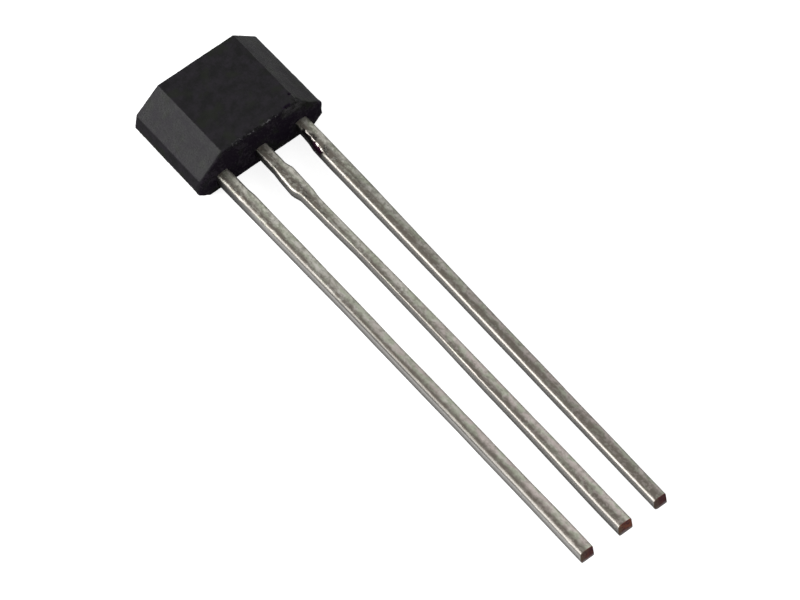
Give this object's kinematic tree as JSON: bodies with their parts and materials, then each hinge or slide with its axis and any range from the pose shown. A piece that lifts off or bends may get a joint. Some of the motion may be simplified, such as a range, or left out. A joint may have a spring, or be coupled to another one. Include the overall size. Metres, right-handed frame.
{
  "type": "hall effect sensor",
  "caption": "Flat moulded Hall effect sensor with chamfered sensing face and long in-line solder leads, lying on its back.",
  "frame": {"origin": "middle of the flat back face of the moulded body, which lies on the surface", "axes": "+X across the package towards the output lead, leads point along -Y, +Z out of the sensing face"},
  "size_m": [0.004, 0.0173, 0.0016],
  "materials": {
    "epoxy": "matt black transfer-moulded epoxy, faintly mottled",
    "tinned_lead": "matt tin over copper alloy, streaked along its length, bare metal at the cropped end",
    "adhesive": "silver-filled chip adhesive",
    "silicon": "polished silicon with a passivated, patterned face",
    "gold_wire": "bright gold bonding wire"
  },
  "bodies": {
    "root": {"body": "epoxy", "lead_supply": "tinned_lead", "lead_ground": "tinned_lead", "lead_output": "tinned_lead", "die_attach": "adhesive", "die": "silicon", "wire_supply": "gold_wire", "wire_ground": "gold_wire", "wire_output": "gold_wire"}
  },
  "joints": []
}
